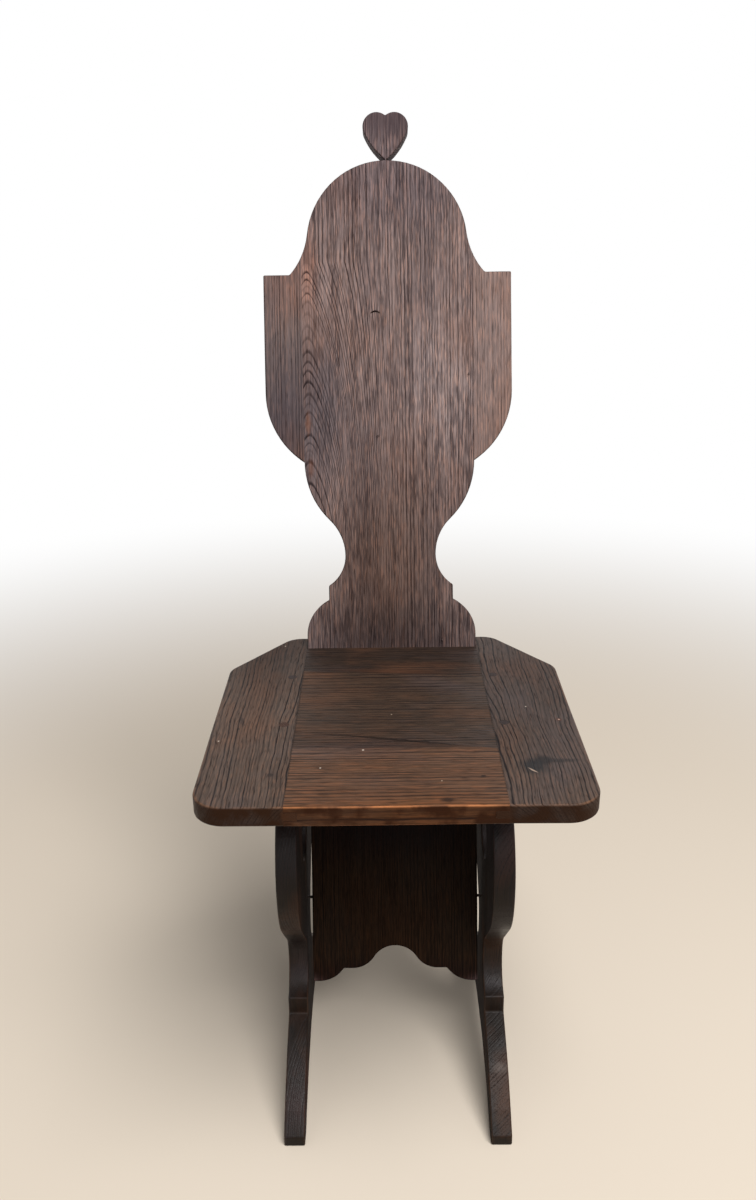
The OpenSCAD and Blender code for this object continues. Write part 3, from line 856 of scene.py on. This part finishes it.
class CHAIR_OT_seat(bpy.types.Operator):
    """Makes the seat's three cross-grained boards and its two wings"""

    bl_idname = "plank_chair.seat"
    bl_label = "Make the seat"

    def execute(self, context):
        # edge=0.62 paints shade on the seat boards' edge faces
        base = dict(
            sway=5, sway_scale=(9, 9, 3), ripple=1.4, taper=(-200, 200, 0.05), ring_gap=4.2, warm=0.2,
            cool=0.2, line=1.0, pore=0.6, rub=0.75, worn=1.35, dark=0.4, edge=0.62, ends=0.5, stroke=1.8,
            fleck=0.4, rough=(0.5, 0.5), gloss=0.14,
        )
        self.panel(context.scene, base)
        self.wings(context.scene, base)
        return {"FINISHED"}

    def panel(self, scene, base):
        """The three boards of the middle, their ends dark along the joints with the wings."""
        shape, finish = scene.chair_shape, scene.chair_finish
        joints = [(on_seat(side * JOINT_X, JOINT_Y), 260, 1.5, 0, "#120b08", 0.6, 0.8) for side in (-1, 1)]
        glue_line = (on_seat(0, -138.8), 2.6, 110, -11.4, "#120a07", 0.85, 0.8)
        front_marks = [
            (on_seat(0, -57), 100, 600, 0, (0.5, 0.54, 0.6), 1.0, 0.05),
            (on_seat(0, -255), 45, 260, 0, (1.25, 1.0, 0.72), 1.0, 1.0),
            (on_seat(41.4, -240), 5, 9, 0, "#1c120e", 0.8, 0.7),
            (on_seat(72.5, -203), 2, 2.6, 0, "#1a110d", 0.8, 0.6),
            (on_seat(-62.6, -187.3), 1.2, 1.0, 0, SPECK, 0.8, 0.6),
            (on_seat(-27.4, -157.2), 1.6, 1.4, 0, SPECK, 0.9, 0.6),
            (on_seat(37.9, -210.3), 1.1, 0.9, 0, "#b9a48f", 0.7, 0.6),
            glue_line,
        ]
        middle_marks = [(on_seat(-2, -90.1), 1.0, 0.9, 0, "#b9a48f", 0.7, 0.6), glue_line]
        rear_marks = [
            (on_seat(0, 5), 7, 90, -4.7, "#4c3022", 0.4, 0.8),
            (on_seat(0, -0.2), 1.6, 110, -4.7, "#150d09", 0.6, 0.8),
        ]
        for node, colour, shift, pith, marks, warm in (
            ("seat_front_board", finish.front_board, (2.2, 0, 6.1), (-330, -60), front_marks, 0.2),
            ("seat_middle_board", finish.middle_board, (8.2, 0, 1.9), (80, -90), middle_marks, 0.2),
            ("seat_rear_board", finish.rear_board, (4.6, 0, 3.3), (-120, -40), rear_marks, 0.3),
        ):
            make_board(
                scene, node, CENTRE_FRAME, shape.seat_arris * PANEL_ARRIS,
                lambda point: point.y < SEAT_FRONT + NEAR and not SEAT_UNDER + MM < point.z < SEAT_TOP - MM,
                colour, deeper(colour, 0.6), {**base, "shift": shift, "pith": pith, "warm": warm},
                joints + marks,
            )

    def wings(self, scene, base):
        """The two boards at the sides, with the stains, nail spots and specks that they have."""
        shape, finish = scene.chair_shape, scene.chair_finish
        tongue = Vector((0, 0, -9 * MM))
        left_marks = [
            (on_seat(-JOINT_X, JOINT_Y), 1.5, 260, 0, "#120b08", 0.6, 0.8),
            (on_seat(-83, -247) + tongue, 9, 14, 0, "#482c1b", 0.75, 0.3),
            (on_seat(-103.9, -198.1), 3.2, 4.2, 0, "#14100f", 0.85, 0.7),
            (on_seat(-103.9, -198.1), 9, 11, 0, "#3c302c", 0.5, 0.9),
            (on_seat(-116.1, -2.3), 13, 18, 0, "#5f4434", 0.5, 0.9),
            (on_seat(-125, 90), 90, 200, 0, (0.36, 0.32, 0.3), 1.0, 0.9),
            (on_seat(-138.8, -100.1), 3, 16, 14, "#2a201d", 0.7, 0.8),
            (on_seat(-140.3, -115.5), 1.6, 2.2, 0, "#120e0c", 0.8, 0.6),
            (on_seat(-155, -138), 1.0, 1.3, 0, SPECK, 0.8, 0.6),
            (on_seat(-113, 71.7), 0.9, 1.2, 0, SPECK, 0.8, 0.6),
        ]
        right_marks = [
            (on_seat(JOINT_X, JOINT_Y), 1.5, 260, 0, "#120b08", 0.6, 0.8),
            (on_seat(83, -247) + tongue, 9, 14, 0, "#3a2417", 0.6, 0.3),
            (on_seat(125, 0), 110, 330, 0, (0.62, 0.62, 0.66), 1.0, 0.9),
            (on_seat(125.7, -178.1), 12, 12, 0, "#161213", 0.85, 0.7),
            (on_seat(116, -188), 15, 18, 20, "#191a1c", 0.85, 0.7),
            (on_seat(140, -179), 22, 5.5, 0, "#1f1a1a", 0.75, 0.8),
            (on_seat(114.2, -194.6), 1.2, 7, 40, "#b59d8b", 0.8, 0.7),
            (on_seat(149.7, -104), 3.4, 4, 0, "#4b2418", 0.8, 0.7),
            (on_seat(149.7, -104), 1.2, 1.4, 0, "#c8a995", 0.8, 0.6),
            (on_seat(123.1, -77.1), 0.9, 1.2, 0, SPECK, 0.8, 0.6),
        ]
        for node, side, shift, marks in (
            ("seat_left_wing", -1, (1.4, 0, 7.5), left_marks),
            ("seat_right_wing", 1, (6.3, 0, 5.9), right_marks),
        ):
            changes = dict(
                shift=shift, pith=(-side * 60, -42), sway=9, sway_scale=(12, 12, 8), ripple=2.4, ring_gap=3.5,
                line=1.1, rub=0.3, worn=1.0, stroke=1.3, taper=(-200, 120, 0.1),
            )
            make_board(
                scene, node, WING_FRAME, shape.seat_arris,
                lambda point: abs(point.x) > PANEL_HALF + NEAR,
                finish.wings, deeper(finish.wings, 0.62), {**base, **changes}, marks,
            )


class CHAIR_OT_sides(bpy.types.Operator):
    """Makes the two pierced side boards"""

    bl_idname = "plank_chair.sides"
    bl_label = "Make the side boards"

    def execute(self, context):
        shape, finish = context.scene.chair_shape, context.scene.chair_finish
        left_marks = [
            # Painted shade under the seat and a painted sheen at the neck; then the toe's end, and a speck
            (on_side(-105, -80, 330), 150, 95, 0, (0.6, 0.35, 0.3), 1.0, 0.9),
            (on_side(-105, -45, 110), 60, 45, 0, (1.6, 1.5, 1.6), 1.0, 0.8),
            (on_side(-105, -110, 30), 90, 45, 0, (1.0, 0.6, 0.5), 1.0, 0.8),
            (on_side(-105, -168, 3), 8, 9, 0, "#140d0a", 0.85, 0.5),
            (on_side(-100, -85, 57), 1.6, 1.2, 0, "#cfc4b6", 0.8, 0.6),
        ]
        right_marks = [
            # Painted shade under the seat and a painted sheen at the neck; then the toe's end
            (on_side(105, -80, 330), 150, 95, 0, (0.5, 0.4, 0.6), 1.0, 0.9),
            (on_side(105, -45, 110), 60, 45, 0, (1.3, 1.4, 1.7), 1.0, 0.8),
            (on_side(105, -168, 3), 8, 9, 0, "#140d0a", 0.85, 0.5),
            # Pale grey patches on the foot
            (on_side(107, -112, 49), 13, 9, 20, "#8d827b", 0.45, 0.9),
            (on_side(109, -138, 28), 7, 5, 0, "#8d827b", 0.4, 0.9),
            (on_side(99, -70, 58), 1.4, 1.2, 0, "#cfc4b6", 0.8, 0.6),
        ]
        for node, side, shift, marks in (
            ("left_side_board", -1, (2.9, 0, 3.4), left_marks),
            ("right_side_board", 1, (7.7, 0, 8.8), right_marks),
        ):
            figure = dict(
                shift=shift, sway=10, sway_scale=(6, 6, 2.5), ripple=1.4, pith=(side * 150, side * 80),
                taper=(0, 430, 0.06), ring_gap=2.7, warm=0.2, cool=0.15, line=0.6, pore=0.4, rub=0.35,
                worn=0.3, dark=0.3, edge=0.0, ends=0.2, stroke=1.5, fleck=0.1, rough=(0.4, 1.0), gloss=0.22,
            )
            make_board(
                context.scene, node, SIDE_FRAME, shape.side_arris, lambda point: True,
                finish.sides, deeper(finish.sides, 0.55), figure, marks,
            )
        return {"FINISHED"}


class CHAIR_OT_fixings(bpy.types.Operator):
    """Makes the pegs that hold the seat down and the nails that hold the back board"""

    bl_idname = "plank_chair.fixings"
    bl_label = "Make the pegs and nails"

    def execute(self, context):
        shape, finish = context.scene.chair_shape, context.scene.chair_finish
        pegs = copy_node("seat_pegs", "oak_seat_pegs")
        round_arrises(pegs, FIXING_ARRIS, shape.joint_arris, lambda point: False)
        figure = dict(
            shift=(4.4, 0, 2.2), sway=2, sway_scale=(9, 9, 3), ripple=1.2, pith=(-60, 40),
            taper=(0, 430, 0.0), ring_gap=1.6, warm=0.2, cool=0.3, line=0.5, pore=0.4, rub=0.3, dark=0.7,
            edge=0.0, ends=0.2, stroke=1.5, fleck=0.2, rough=(0.5, 0.5), gloss=0.15,
        )
        material = oak("stained_oak_pegs", SIDE_FRAME, finish.pegs, deeper(finish.pegs, 0.7), finish, figure)
        finish_piece(pegs, "seat_pegs", material, shape.waviness)
        nails = copy_node("side_nails", "iron_side_nails")
        round_arrises(nails, FIXING_ARRIS, NAIL_ARRIS, lambda point: False)
        finish_piece(nails, "side_nails", forged_iron("forged_iron", finish), shape.waviness)
        return {"FINISHED"}


class CHAIR_PT_panel(bpy.types.Panel):
    bl_idname = "CHAIR_PT_panel"
    bl_label = "Plank side chair"
    bl_space_type = "VIEW_3D"
    bl_region_type = "UI"
    bl_category = "Plank Chair"

    def draw(self, context):
        for step in STEPS:
            self.layout.operator(step.bl_idname)
        for group in (context.scene.chair_shape, context.scene.chair_finish, context.scene.chair_stage):
            box = self.layout.box()
            for name in group.bl_rna.properties.keys():
                if name not in ("rna_type", "name"):
                    box.prop(group, name)


STEPS = (CHAIR_OT_stage, CHAIR_OT_back, CHAIR_OT_seat, CHAIR_OT_sides, CHAIR_OT_fixings)
CLASSES = (ChairShape, ChairFinish, ChairStage, *STEPS, CHAIR_PT_panel)


def register():
    for cls in CLASSES:
        bpy.utils.register_class(cls)
    bpy.types.Scene.chair_shape = PointerProperty(type=ChairShape)
    bpy.types.Scene.chair_finish = PointerProperty(type=ChairFinish)
    bpy.types.Scene.chair_stage = PointerProperty(type=ChairStage)


def unregister():
    del bpy.types.Scene.chair_stage
    del bpy.types.Scene.chair_finish
    del bpy.types.Scene.chair_shape
    for cls in reversed(CLASSES):
        bpy.utils.unregister_class(cls)


def main():
    register()
    bpy.ops.plank_chair.stage()
    bpy.ops.plank_chair.back()
    bpy.ops.plank_chair.seat()
    bpy.ops.plank_chair.sides()
    bpy.ops.plank_chair.fixings()


if __name__ == "__main__":
    main()
